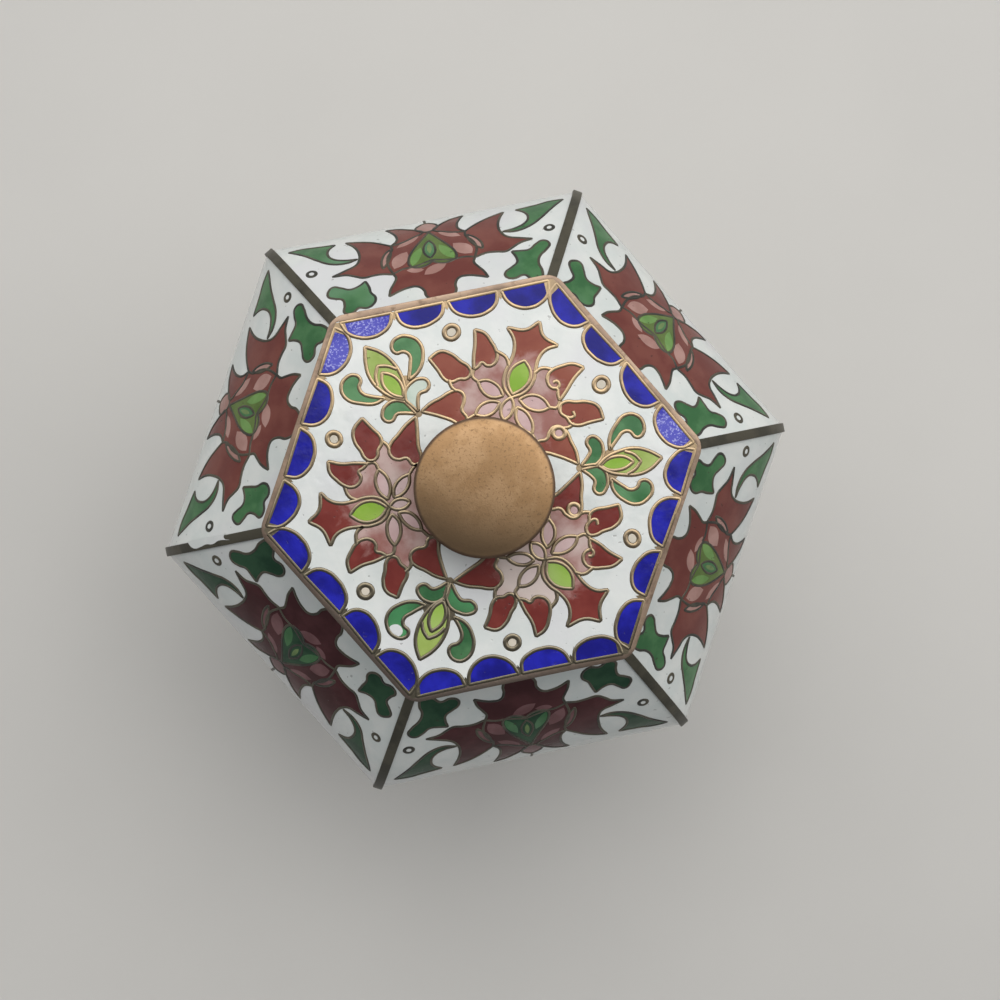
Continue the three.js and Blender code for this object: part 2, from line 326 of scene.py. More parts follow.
def spinProfile(profile, steps):  # a closed shell from (radius, height) points, the first corner on +X
    bm = bmesh.new()
    verts = [bm.verts.new((x * mm, 0, z * mm)) for x, z in profile]
    edges = [bm.edges.new(pair) for pair in zip(verts, verts[1:])]
    if profile[0][0] > 0:
        edges.append(bm.edges.new((verts[-1], verts[0])))
    bmesh.ops.spin(bm, geom=verts + edges, cent=(0, 0, 0), axis=(0, 0, 1), angle=2 * math.pi, steps=steps,
                   use_merge=True)
    bmesh.ops.remove_doubles(bm, verts=bm.verts, dist=weldDistance * mm)
    bmesh.ops.recalc_face_normals(bm, faces=bm.faces)
    return bm


def bevelEdges(bm, width, segments, chosen):
    edges = [e for e in bm.edges if len(e.link_faces) == 2 and chosen(e)]
    bmesh.ops.bevel(bm, geom=edges, offset=width * mm, offset_type="OFFSET", segments=segments, profile=0.5,
                    affect="EDGES", material=-1, clamp_overlap=True)


def squareEdge(edge):
    return edge.calc_face_angle(0) > squareFold


# Jar body: the same curve as the solid's, turned to six flat-sided panels

bodyShape = {
    "footLip": 0.7, "seatMargin": 0.6, "widestHeight": 62.0, "wall": 1.8, "floor": 2.0, "neckWall": 1.5,
    "lowerOut": 0.44, "lowerUp": 0.28, "bellyUp": 0.69, "shoulderUp": 0.42, "ledgeOut": 0.6, "slope": 34.0,
    "floorCorner": 0.3, "lowerSteps": 40, "upperSteps": 30,
}


def bodyProfile():  # corner radius and height, from the ledge down to the foot
    b = bodyShape
    bottom = nodeBox("foot_rim")[1].x - b["footLip"]
    widest = nodeBox("jar_body")[1].y / flatShare
    seat = nodeBox("lid_rim")[1].x + b["seatMargin"]
    tall = b["widestHeight"] - footTop
    run = (widest - seat) * b["ledgeOut"]
    drop = run * math.tan(math.radians(b["slope"]))
    upper = interpolate_bezier(
        (seat, seatHeight), (seat + run, seatHeight - drop),
        (widest, b["widestHeight"] + (seatHeight - b["widestHeight"]) * b["shoulderUp"]),
        (widest, b["widestHeight"]), b["upperSteps"])
    lower = interpolate_bezier(
        (widest, b["widestHeight"]), (widest, footTop + tall * b["bellyUp"]),
        (bottom + (widest - bottom) * b["lowerOut"], footTop + tall * b["lowerUp"]),
        (bottom, footTop), b["lowerSteps"])
    return [Vector(p[:2]) for p in upper] + [Vector(p[:2]) for p in lower[1:]]


def curveNormals(points):  # pointing away from the axis for a profile that runs downwards
    normals = []
    for i in range(len(points)):
        along = points[min(i + 1, len(points) - 1)] - points[max(i - 1, 0)]
        normals.append(Vector((-along.y, along.x)).normalized())
    return normals


def offsetCurve(points, distance):
    return [p + n * distance for p, n in zip(points, curveNormals(points))]


def makeBody():
    b = bodyShape
    corner = bodyProfile()
    panel = [Vector((p.x * flatShare, p.y)) for p in corner]
    neckRadius = neckInner + b["neckWall"]
    ceiling = seatHeight - b["wall"]
    floorTop = footTop + b["floor"]
    wall = [Vector((p.x / flatShare, p.y)) for p in offsetCurve(panel, -b["wall"])]
    wall = [p for p in wall if floorTop < p.y < ceiling and p.x > neckInner]
    profile = [(0, floorTop), (wall[-1].x - b["floorCorner"], floorTop)] + [tuple(p) for p in reversed(wall)]
    profile += [(neckInner, ceiling), (neckInner, neckTop), (neckRadius, neckTop), (neckRadius, seatHeight)]
    profile += [tuple(p) for p in corner] + [(0, footTop)]
    bm = spinProfile(profile, sides)
    body = finishPiece(bm, "enamelled_body", "shadedWhite", ["jar_body"])
    body.data.materials.append(materials["turquoise"])
    for face in body.data.polygons:  # counter enamel inside and underneath
        middle = Vector(face.center)
        inwards = middle.xy.dot(face.normal.xy) < 0 and middle.z / mm < ceiling + slack
        flatInside = middle.z / mm < floorTop + slack and abs(face.normal.z) > 0.9
        if inwards or flatInside:
            face.material_index = 1
    print("body shell:", len(body.data.polygons), "faces")


makeBody()


# Rings and bands of six sides, each as the solid says, with softened edges

ringLook = {
    "foot_rim": {"piece": "foot_ring", "finish": "brass", "corner": 0.8, "edge": 0.35},
    "mouth_rim": {"piece": "mouth_ring", "finish": "gilt", "corner": 0.6, "edge": 0.3},
    "lid_rim": {"piece": "lid_lower_ring", "finish": "gilt", "corner": 1.3, "edge": 0.3},
    "lid_edge_band": {"piece": "lid_top_band", "finish": "gilt", "corner": 1.3, "edge": 0.22},
}


def makeRing(name, look):
    low, high = nodeBox(name)
    inner = innerRadius(name)
    bm = spinProfile([(inner, low.z), (high.x, low.z), (high.x, high.z), (inner, high.z)], sides)

    def outerCorner(edge):
        a, b = edge.verts[0].co, edge.verts[1].co
        return abs(a.z - b.z) > 0.5 * (high.z - low.z) * mm and a.xy.length > (inner + slack) * mm

    bevelEdges(bm, look["corner"], 5, outerCorner)
    bevelEdges(bm, look["edge"], 3, squareEdge)
    finishPiece(bm, look["piece"], look["finish"], [name])


for ringName, look in ringLook.items():
    makeRing(ringName, look)
print("rings made")


# Corner strips: flat metal bands bent along the body's corners

stripShape = {"proud": 0.06, "thickness": 0.5, "width": 1.3, "edge": 0.1}


def makeStrips():
    s = stripShape
    outer = offsetCurve(bodyProfile(), s["proud"])
    for i in range(sides):
        bm = bmesh.new()
        verts = [bm.verts.new((p.x * mm, -s["width"] / 2 * mm, max(p.y, footTop) * mm)) for p in outer]
        edges = [bm.edges.new(pair) for pair in zip(verts, verts[1:])]
        made = bmesh.ops.extrude_edge_only(bm, edges=edges)["geom"]
        moved = [v for v in made if isinstance(v, bmesh.types.BMVert)]
        bmesh.ops.translate(bm, vec=(0, s["width"] * mm, 0), verts=moved)
        bmesh.ops.recalc_face_normals(bm, faces=bm.faces)
        if sum(f.normal.x for f in bm.faces) < 0:
            bmesh.ops.reverse_faces(bm, faces=bm.faces)
        bmesh.ops.solidify(bm, geom=bm.faces[:], thickness=s["thickness"] * mm)
        bmesh.ops.recalc_face_normals(bm, faces=bm.faces)
        bevelEdges(bm, s["edge"], 2, squareEdge)
        bmesh.ops.rotate(bm, verts=bm.verts, cent=(0, 0, 0), matrix=Matrix.Rotation(sixth * i, 3, "Z"))
        finishPiece(bm, f"corner_band_{i + 1}", "strip", [f"corner_strip_{i + 1}"])
    print("corner strips made")


makeStrips()


# Lid: hollow cap with a rebate for the edge band, and the turned knob

lidShape = {"wall": 1.6, "top": 1.6, "enamelDrop": 0.04}
knobShape = {"edge": 0.4, "crown": 0.3, "crownBend": (0.7, 0.35), "thickness": 4.2, "stem": 2.8, "waist": 0.5,
             "neck": 0.5, "flare": 0.7, "flange": 4.6, "flangeHeight": 1.0, "flangeSlope": 0.6, "steps": 96,
             "crownSteps": 10}


def makeLid():
    rimTop = nodeBox("lid_rim")[1].z
    bandBottom = nodeBox("lid_edge_band")[0].z
    inner = lidRadius - lidShape["wall"]
    ceiling = lidTop - lidShape["top"]
    top = lidTop - lidShape["enamelDrop"]
    profile = [(0, ceiling), (inner, ceiling), (inner, rimTop), (lidRadius, rimTop), (lidRadius, bandBottom),
               (bandInner, bandBottom), (bandInner, top), (0, top)]
    bm = spinProfile(profile, sides)
    cap = finishPiece(bm, "enamelled_lid", "white", ["lid_cap"])
    cap.data.materials.append(materials["turquoise"])
    for face in cap.data.polygons:
        middle = Vector(face.center)
        if middle.z / mm < ceiling + slack and (face.normal.z < -0.5 or middle.xy.dot(face.normal.xy) < 0):
            face.material_index = 1


def makeKnob():
    k = knobShape
    low, high = nodeBox("lid_knob")
    radius = high.x
    face = high.z - k["crown"]
    under = high.z - k["thickness"]
    outer, inner = k["crownBend"]
    dome = interpolate_bezier((radius - 0.02, face), (radius * outer, face + k["crown"]),
                              (radius * inner, high.z), (0, high.z), k["crownSteps"])
    flangeTop = low.z + k["flangeHeight"]
    profile = [(0, low.z), (k["flange"], low.z), (k["flange"], flangeTop),
               (k["stem"], flangeTop + k["flangeSlope"]), (k["stem"] - k["waist"], (low.z + under) / 2),
               (k["stem"], under - k["neck"]), (k["stem"] + k["flare"], under), (radius, under), (radius, face)]
    profile += [(p[0], p[1]) for p in dome]
    bm = spinProfile(profile, k["steps"])

    def rim(edge):
        away = edge.verts[0].co.xy.length
        return edge.calc_face_angle(0) > math.radians(50) and away > (k["flange"] - 0.2) * mm

    bevelEdges(bm, k["edge"], 4, rim)
    finishPiece(bm, "button_knob", "knobBrass", ["lid_knob"], 40)


makeLid()
makeKnob()
print("lid and knob made")


# Motif outlines. A point is (across, along) in millimetres, and tip() makes a sharp one.

def tip(x, y):
    return (x, y, True)


def mirrored(outline):
    return [(-p[0], *p[1:]) for p in outline]


def bothHalves(outline):  # closes a right-hand half, whose ends lie on the middle line, with its mirror image
    left = [p for p in reversed(mirrored(outline)) if abs(p[0]) > 1e-6]
    return outline + left


def almond(x1, y1, x2, y2, halfWidth):
    start, end = Vector((x1, y1)), Vector((x2, y2))
    out = (end - start).orthogonal().normalized() * halfWidth
    shares = ((0.24, 0.76), (0.5, 1.0), (0.76, 0.76))
    one = [tuple(start.lerp(end, along) + out * wide) for along, wide in shares]
    other = [tuple(start.lerp(end, along) - out * wide) for along, wide in reversed(shares)]
    return [tip(x1, y1), *one, tip(x2, y2), *other]


def disc(x, y, radius):
    return [(x + radius * math.cos(a * math.pi / 3), y + radius * math.sin(a * math.pi / 3)) for a in range(6)]


def cell(colour, outline, level=1, wired=True, blush=None):
    return {"colour": colour, "outline": outline, "level": level, "wired": wired, "blush": blush, "closed": True}


def wirePath(points):
    return dict(cell(None, points, 0), closed=False)


def flipped(cells):
    made = []
    for c in cells:
        blush = c["blush"] and (-c["blush"][0], *c["blush"][1:])
        made.append(dict(c, outline=mirrored(c["outline"]), blush=blush))
    return made


def pair(*cells):  # cells and their mirror images
    return [*cells, *flipped(cells)]


def ring(x, y, radius=0.8, filling="cream"):
    return [cell(filling, disc(x, y, radius * 0.6), 4, False),
            dict(cell(None, disc(x, y, radius), 0), bold=True)]


# Lotus on the lid: it grows outwards from the knob, and the numbers are distances from the lid's centre

def lidLobes(red, heart, scroll):  # the three hooked petals on the right of the flower
    upper = [tip(6.8, 17.3), (5.5, 17.35), (4.3, 16.7), (3.45, 16.0), (3.05, 15.2), (3.3, 14.35), (4.0, 13.95),
             (4.7, 14.05), (5.0, 13.5), tip(5.45, 12.9), (5.85, 14.3), (6.15, 15.8)]
    outer = [tip(10.85, 12.4), (9.8, 13.65), (8.5, 13.8), (7.2, 13.35), (6.2, 13.05), (5.7, 12.4), (6.0, 11.65),
             (6.8, 11.35), (7.5, 10.8), (8.3, 10.8), (9.5, 11.6)]
    lower = [tip(9.85, 6.2), (9.1, 7.5), (8.1, 8.6), (7.4, 9.5), (6.6, 10.0), (5.75, 9.8), (5.35, 9.0),
             (5.3, 8.0), (4.4, 7.3), (4.4, 6.5), (6.4, 6.45), (8.2, 6.35)]
    lobes = [*(cell(red, lobe, 1, True, heart) for lobe in (upper, outer, lower)),
             wirePath([(1.5, 14.9), (2.1, 15.7), (3.45, 16.0)]),
             wirePath([(7.9, 10.9), (7.3, 10.2), (6.7, 9.95)])]
    if scroll:
        lobes += [wirePath([(3.05, 15.2), (3.3, 14.35), (4.1, 13.95), (4.75, 14.3), (4.35, 14.9), (3.95, 14.6)]),
                  wirePath([(5.7, 12.4), (6.0, 11.65), (6.8, 11.4), (7.6, 11.75), (7.3, 12.3)]),
                  *ring(6.45, 9.2, 0.72, "pink")]
    return lobes


def lidFlower(red="red", left=False, right=False):
    heart = (0, 10.8, 5.6)  # middle and reach of the pink blush
    crown = bothHalves([tip(0, 20.95), (1.15, 19.5), tip(3.25, 18.95), (2.1, 18.1), (1.5, 16.9), (1.45, 15.4),
                        (1.65, 14.0), (1.3, 12.4), tip(0, 11.3)])
    ground = bothHalves([(0, 13.4), (1.4, 15.3), (2.3, 15.8), (3.4, 15.8), (4.6, 14.6), (5.6, 13.0), (6.3, 11.6),
                         (7.3, 10.6), (6.6, 9.4), (5.8, 8.4), (5.0, 6.9), (3.2, 6.4), (0, 6.4)])
    return [
        cell("flush", ground, 0, False),
        *flipped(lidLobes(red, heart, left)),
        *lidLobes(red, heart, right),
        cell(red, crown, 2, True, heart),
        *pair(cell("pink", almond(0.95, 11.35, 4.6, 11.75, 0.86), 2),
              cell("pink", almond(1.0, 10.5, 3.5, 8.0, 0.75), 2),
              wirePath([(4.6, 11.75), (5.4, 12.1), (5.5, 12.9)]),
              wirePath([(3.5, 8.0), (4.2, 7.2), (4.4, 6.5)])),
        cell("pink", almond(0, 11.4, 0, 8.6, 0.68), 2),
        cell("lime", almond(0, 16.05, 0, 11.7, 1.2), 3),
    ]


def leafSpray(leaf="green", paleHead=False, paleBase=False):  # between the flowers, where their stems meet
    bud = [tip(0.5, 21.75), (1.5, 20.3), (1.9, 18.7), (1.75, 16.8), (1.1, 15.2), tip(0.1, 14.0),
           (-0.7, 15.2), (-1.15, 16.8), (-1.15, 18.7), (-0.6, 20.3)]
    arch = [(-1.0, 17.4), (-0.5, 18.4), tip(0.4, 19.2), (1.25, 18.4), (1.75, 17.4)]
    left = [tip(-1.5, 15.7), (-2.9, 15.9), (-4.2, 16.9), (-5.1, 18.4), (-4.8, 19.8), (-3.7, 20.4), (-2.5, 20.0),
            (-2.3, 19.2), (-3.1, 18.5), (-3.2, 17.7), (-2.6, 16.8)]
    right = [tip(1.9, 15.4), (3.3, 15.4), (4.9, 16.3), (5.7, 17.7), (5.3, 19.1), (4.2, 20.0), (3.0, 19.8),
             (2.8, 18.9), (3.6, 18.3), (3.8, 17.5), (3.2, 16.7)]
    base = [tip(0.1, 13.9), (0.8, 14.7), (1.9, 14.95), (3.0, 14.6), (3.5, 13.8), (2.9, 13.1), (1.8, 13.35),
            (1.2, 13.0), tip(0.2, 11.9)]
    web = [tip(-1.9, 15.9), (-0.9, 16.4), (0.3, 15.8), (1.4, 16.4), tip(2.4, 15.7), (1.6, 15.0), (0, 14.2),
           (-1.2, 14.9)]
    return [
        cell("wire", web, 0, False),
        cell("olive", bud, 1),
        wirePath(arch),
        cell("lime", almond(0.35, 18.3, 0.15, 14.3, 0.85), 3),
        cell(leaf, left, 1),
        cell(leaf, right, 1),
        *([cell("white", disc(4.2, 19.25, 0.8), 2, False)] if paleHead else []),
        cell("mist" if paleBase else leaf, base, 2),
        *flipped([cell(leaf, base, 2)]),
        cell("wire", disc(0, 11.7, 0.45), 2, False),
    ]


def scallop(width, depth):  # half-round, its flat side on the line y = 0
    half = width / 2
    return bothHalves([(0, depth), (half * 0.45, depth * 0.9), (half * 0.84, depth * 0.56), tip(half, 0)])


# Big lotus at the top of each panel: across, and down from the ledge under the lid

def panelRing(x, y):
    return ring(x, y, 0.55, "shadedWhite")


def panelLotus(red, green):
    under = bothHalves([(0, 6.6), (4.6, 7.0), (6.0, 8.5), (6.0, 11.4), (5.1, 13.6), (3.0, 15.2), (0, 15.9)])
    crown = bothHalves([tip(0, 0.3), (1.3, 0.9), (2.0, 1.9), (2.1, 3.0), (2.8, 4.0), (4.0, 4.1), (5.2, 3.7),
                        tip(6.4, 3.0), (6.1, 4.4), (5.5, 5.6), (5.1, 6.5), tip(5.3, 7.4), (3.9, 7.9), (2.4, 7.9),
                        tip(0, 8.6)])
    petal = [tip(5.3, 7.3), (6.8, 7.7), (8.2, 7.6), (9.4, 7.4), (10.4, 8.0), (11.4, 8.7), tip(13.2, 9.0),
             (11.5, 9.8), (10.1, 10.5), (9.5, 11.6), (9.4, 13.2), (9.8, 15.0), tip(10.8, 17.4), (9.0, 16.6),
             (7.6, 15.8), (6.3, 14.8), tip(5.0, 13.6), (4.9, 12.5), (5.5, 11.0), (5.7, 9.3)]
    lower = [tip(5.0, 13.6), (4.3, 14.7), (4.2, 16.2), (4.6, 17.8), tip(5.3, 19.6), (3.8, 19.0), (2.6, 18.0),
             (1.5, 16.9), (0.8, 15.9), (2.2, 14.7), (3.6, 13.9)]
    dome = bothHalves([(0, 19.0), (0.9, 18.4), (1.5, 17.3), (1.3, 16.5), tip(0.7, 15.8), (0, 15.6)])
    heart = bothHalves([tip(0, 8.3), (0.75, 7.7), (1.8, 7.5), (2.8, 8.1), (2.9, 9.4), (2.35, 11.1), (1.5, 12.7),
                        (0.7, 14.1), tip(0, 15.4)])
    return [
        cell(red, under, 0, False),
        *pair(cell(red, petal, 1), cell(red, lower, 1)),
        cell("panelPink", dome, 2),
        cell(red, crown, 2),
        *pair(cell("panelPink", almond(5.0, 8.3, 3.0, 11.3, 1.0), 3, False),
              cell("panelPink", almond(4.3, 12.7, 1.4, 14.8, 0.6), 2, False),
              cell("panelPink", almond(6.5, 8.7, 5.1, 12.7, 0.5), 2)),
        cell("panelPink", almond(3.5, 7.5, 1.3, 6.9, 0.5), 3, False),
        cell("panelPink", almond(1.5, 5.9, -1.6, 7.4, 0.8), 3, False),
        cell("moss", heart, 3),
        *pair(cell("leafPale", almond(2.6, 8.1, 1.2, 11.6, 0.62), 4, False)),
        cell(green, almond(0.1, 13.0, 0.1, 9.0, 0.75), 4),
        cell("sage", almond(0.1, 12.2, 0.1, 10.0, 0.3), 5, False),
    ]


trefoils = [  # the two upper corner leaves of a panel
    [(14.0, 6.1), (13.3, 6.7), (12.4, 6.2), (11.4, 5.5), (10.4, 5.7), tip(9.3, 6.6), (9.0, 5.3), (8.8, 4.2),
     (8.2, 3.2), (8.4, 2.2), (9.3, 1.6), (10.4, 1.9), (11.4, 1.3), (12.3, 1.6), (12.2, 2.9), (12.4, 4.0),
     (13.3, 4.5), (14.1, 5.1)],
    [(15.2, 7.2), (14.5, 8.1), (13.4, 7.7), (12.4, 6.9), (11.2, 7.0), tip(10.1, 7.2), (10.4, 5.9), (10.3, 4.8),
     (9.4, 4.0), (8.5, 3.3), (8.4, 2.4), (9.2, 1.8), (10.6, 2.1), (11.4, 1.2), (12.6, 1.0), (13.1, 2.2),
     (13.0, 3.7), (13.5, 5.1), (14.6, 6.2)],
]
hookedLeaf = [tip(18.9, 17.9), (17.1, 18.2), (15.2, 17.8), tip(12.4, 17.4), (13.3, 16.0), (13.5, 14.5),
              (12.9, 13.0), (11.4, 12.1), tip(9.7, 11.8), (11.3, 11.4), (13.2, 11.9), (14.9, 13.4), (16.4, 15.1),
              (17.8, 16.6)]


def lowerGrowth():  # plainer growth under the lotus, where the photograph doesn't reach
    upper = [tip(0.2, 36.8), (3.0, 33.4), (6.0, 31.2), (9.6, 30.6), tip(13.4, 32.4), (10.2, 34.2), (6.8, 35.2),
             (3.6, 36.4)]
    leaf = [tip(0.25, 41.6), (3.4, 40.2), (6.4, 40.5), (9.6, 42.6), tip(12.2, 46.2), (9.2, 45.3), (6.6, 45.2),
            (4.0, 44.6), (2.0, 43.3)]
    return [
        wirePath([(0, 19.0), (0, 26), (0, 34), (0, 42.4)]),
        *placed(leafSpray(), (1.15, 1.15), (0, 29.0)),
        *pair(cell("green", upper, 1), cell("green", leaf, 1),
              *[c for x, y in ((8.8, 26.4), (16.6, 38.4), (9.0, 50.0), (11.5, 62.0)) for c in panelRing(x, y)]),
        cell("leafShade", almond(0, 54.8, 0, 66.5, 0.8), 1),
        *placed(lidFlower(), (0.85, -0.85), (0, panelLength - 5.3)),
        *[c for x in (-9.75, -3.25, 3.25, 9.75)
          for c in placed([cell("blue", scallop(5.9, 2.5), 1)], (1, -1), (x, panelLength - 0.1))],
    ]


def lidSideSprig():
    leaf = [tip(0.9, 4.4), (2.1, 2.8), (4.0, 2.2), tip(6.4, 3.0), (4.5, 4.0), (2.4, 4.8)]
    return [cell("red", almond(0, 0.9, 0, 6.0, 1.25), 2, True, (0, 4.6, 2.0)),
            cell("pink", almond(0, 2.9, 0, 5.5, 0.45), 3),
            *pair(cell("green", leaf, 1), *ring(8.8, 3.6))]


def placed(cells, stretch=(1, 1), shift=(0, 0), turn=0):  # stretched, then moved, then turned about the middle
    spin = Matrix.Rotation(math.radians(turn), 2)

    def put(point):
        place = spin @ Vector((point[0] * stretch[0] + shift[0], point[1] * stretch[1] + shift[1]))
        return (place.x, place.y, *point[2:])

    moved = []
    for c in cells:
        blush = c["blush"]
        if blush:
            heart = put(blush[:2])
            blush = (heart[0], heart[1], blush[2] * abs(stretch[0]))
        moved.append(dict(c, outline=[put(p) for p in c["outline"]], blush=blush))
    return moved


# Inlay: every cell is a thin slab of enamel let into the ground, and its cloison a bar ground flat on top

inlayShape = {"groundTop": 0.012, "levelStep": 0.008, "depth": 0.12, "weld": 0.0005,
              "wireRadius": {"wire": 0.25, "darkWire": 0.19}, "boldShare": 1.3, "wireTop": 0.075,
              "crossSteps": 7, "crossStep": 0.001, "tipSplit": 0.13, "resolution": 5,
              "wobble": 0.42, "wobbleScale": 0.17, "seedStep": 7.3, "bendSeed": 7, "cellFold": 35, "wireFold": 75}
noise.seed_set(inlayShape["bendSeed"])  # every run bends the wires alike


def wobbled(point, seed):  # hand-bent wires are never quite true
    i = inlayShape
    scale = i["wobbleScale"]
    push = noise.noise_vector(Vector((point[0] * scale, point[1] * scale, seed * i["seedStep"])))
    return (point[0] + push.x * i["wobble"], point[1] + push.y * i["wobble"], *point[2:])


def splitTips(points, closed):  # two knots at each sharp turn, so that a bar keeps its width there
    made = []
    for n, point in enumerate(points):
        atEnd = not closed and n in (0, len(points) - 1)
        if len(point) < 3 or atEnd:
            made.append(point)
            continue
        here = Vector(point[:2])
        for other in (points[n - 1], points[(n + 1) % len(points)]):
            towards = (Vector(other[:2]) - here).normalized() * inlayShape["tipSplit"]
            made.append((here.x + towards.x, here.y + towards.y, True))
    return made


def curveMesh(points, closed, **settings):
    data = bpy.data.curves.new("outline", "CURVE")
    data.resolution_u = inlayShape["resolution"]
    for key, value in settings.items():
        setattr(data, key, value)
    spline = data.splines.new("BEZIER")
    spline.bezier_points.add(len(points) - 1)
    spline.use_cyclic_u = closed
    for knot, point in zip(spline.bezier_points, points):
        knot.co = (point[0], point[1], 0)
        knot.handle_left_type = knot.handle_right_type = "VECTOR" if len(point) > 2 else "AUTO"
    holder = bpy.data.objects.new("outline", data)
    mesh = bpy.data.meshes.new_from_object(holder)
    bpy.data.objects.remove(holder)
    bpy.data.curves.remove(data)
    return mesh


def slabMesh(points, top, blush=None):  # a filled outline, its face at the height top
    depth = inlayShape["depth"]
    mesh = curveMesh(points, True, dimensions="2D", fill_mode="BOTH", extrude=depth / 2)
    bm = bmesh.new()
    bm.from_mesh(mesh)
    bmesh.ops.remove_doubles(bm, verts=bm.verts, dist=inlayShape["weld"])
    bmesh.ops.translate(bm, vec=(0, 0, top - depth / 2), verts=bm.verts)
    spot = bm.loops.layers.uv.new("blush")
    x, y, reach = blush or (0, 0, 1e-3)
    for face in bm.faces:
        for loop in face.loops:
            loop[spot].uv = ((loop.vert.co.x - x) / reach, (loop.vert.co.y - y) / reach)
    bm.to_mesh(mesh)
    bm.free()
    return mesh


def barMesh(points, closed, radius, top):  # a wire along the outline, ground flat on top
    mesh = curveMesh(splitTips(points, closed), closed, dimensions="3D", fill_mode="FULL", use_fill_caps=True,
                     bevel_depth=radius, bevel_resolution=2, twist_mode="Z_UP")
    bm = bmesh.new()
    bm.from_mesh(mesh)
    for v in bm.verts:
        v.co.z = min(v.co.z, top)
    bmesh.ops.remove_doubles(bm, verts=bm.verts, dist=inlayShape["weld"])
    bm.to_mesh(mesh)
    bm.free()
    return mesh


def joinIn(groups, name, mesh):
    if name not in groups:
        groups[name] = bmesh.new()
    groups[name].from_mesh(mesh)
    bpy.data.meshes.remove(mesh)


laid = itertools.count()


def layIn(groups, cells, seed, metal="wire"):
    i = inlayShape
    for c in cells:
        points = [wobbled(p, seed) for p in c["outline"]]
        lift = next(laid) % i["crossSteps"] * i["crossStep"]  # pieces that cross each other don't share a face
        if c["colour"]:
            colour = metal if c["colour"] == "wire" else c["colour"]
            top = i["groundTop"] + i["levelStep"] * c["level"] + lift
            joinIn(groups, colour, slabMesh(points, top, c["blush"]))
        if c["wired"]:
            radius = i["wireRadius"][metal] * (i["boldShare"] if c.get("bold") else 1)
            joinIn(groups, metal, barMesh(points, c["closed"], radius, i["wireTop"] + lift))


def profileLengths(curve):
    lengths = [0.0]
    for a, b in zip(curve, curve[1:]):
        lengths.append(lengths[-1] + (b - a).length)
    return lengths


def wrapOnto(bm, curve, angle):  # across, along and out become a place on the side that faces the angle
    normals = curveNormals(curve)
    lengths = profileLengths(curve)
    cosine, sine = math.cos(math.radians(angle)), math.sin(math.radians(angle))
    for v in bm.verts:
        n = min(max(bisect.bisect_right(lengths, v.co.y), 1), len(lengths) - 1)
        share = (v.co.y - lengths[n - 1]) / (lengths[n] - lengths[n - 1])
        place = curve[n - 1].lerp(curve[n], share) + normals[n - 1].lerp(normals[n], share) * v.co.z
        v.co = Vector((place.x * cosine - v.co.x * sine, place.x * sine + v.co.x * cosine, place.y)) * mm
    bmesh.ops.recalc_face_normals(bm, faces=bm.faces)


def cutAlong(bm, curve):  # so that a slab can follow the bend of its panel
    reach = [v.co.y for v in bm.verts]
    for length in profileLengths(curve):
        if min(reach) < length < max(reach):
            bmesh.ops.bisect_plane(bm, geom=bm.verts[:] + bm.edges[:] + bm.faces[:], dist=1e-5,
                                   plane_co=(0, length, 0), plane_no=(0, 1, 0))


def finishInlay(bm, name, colour):
    fold = "wireFold" if colour in inlayShape["wireRadius"] else "cellFold"
    return finishPiece(bm, name, colour, sharpAngle=inlayShape[fold])


# Panels of the body

flatCurve = [Vector((p.x * flatShare, p.y)) for p in bodyProfile()]
panelLength = profileLengths(flatCurve)[-1]
panelShades = {"red": "panelRed", "green": "panelGreen"}  # the panels' colours are duller than the lid's
# painted shade: darker copies of the colours for the two panels that face away from the lamps
shadedPanelCopies = {"red": "paintedShadeRed", "panelRed": "paintedShadeRed", "green": "paintedShadeGreen", "panelGreen": "paintedShadeGreen",
              "moss": "paintedShadeGreen", "leafPale": "panelGreen", "panelPink": "paintedShadePink"}
shadedPanels = (3, 4)


def panelCells(number):
    red, green = "panelRed", "panelGreen"
    corners = [cell(green, trefoils[0], 3), *flipped([cell(green, trefoils[1], 3)])]
    cells = [*panelLotus(red, green), *corners, *lowerGrowth(),
             *pair(cell(green, hookedLeaf, 1), *panelRing(15.7, 10.5))]
    shades = dict(panelShades)
    # painted shade on the panels that face away from the lamps
    if number in shadedPanels:
        shades.update(shadedPanelCopies)
    return [dict(c, colour=shades.get(c["colour"], c["colour"])) for c in cells]


def makePanels():
    whole = {}
    for number in range(sides):
        groups = {}
        layIn(groups, panelCells(number), number + 1, "darkWire")
        for colour, bm in groups.items():
            if colour != "darkWire":
                cutAlong(bm, flatCurve)
            wrapOnto(bm, flatCurve, panelAngle(number))
            if colour == "darkWire":
                finishInlay(bm, f"panel_cloisons_{number + 1}", colour)
                continue
            mesh = bpy.data.meshes.new("panel cells")
            bm.to_mesh(mesh)
            bm.free()
            joinIn(whole, colour, mesh)
        print("panel", number + 1, "inlaid")
    for colour, bm in whole.items():
        finishInlay(bm, f"panel_{colour}_cells", colour)


makePanels()


# Top and sides of the lid

lidPlan = {"scallops": (-9.6, -3.2, 3.2, 9.6), "between": (-6.4, 0, 6.4), "scallopWidth": 5.95,
           "scallopDepth": 2.6, "ringRadius": 18.6, "bareLevel": 6, "bareReach": 0.1, "seed": 11, "sideSeed": 20}
spandrel = [tip(-0.6, 0), tip(0.6, 0), tip(0, 1.2)]  # bare metal where two scallops meet
cornerSpandrel = [tip(0, 0), tip(0.9, 0.52), tip(0, 2.4), tip(-0.9, 0.52)]


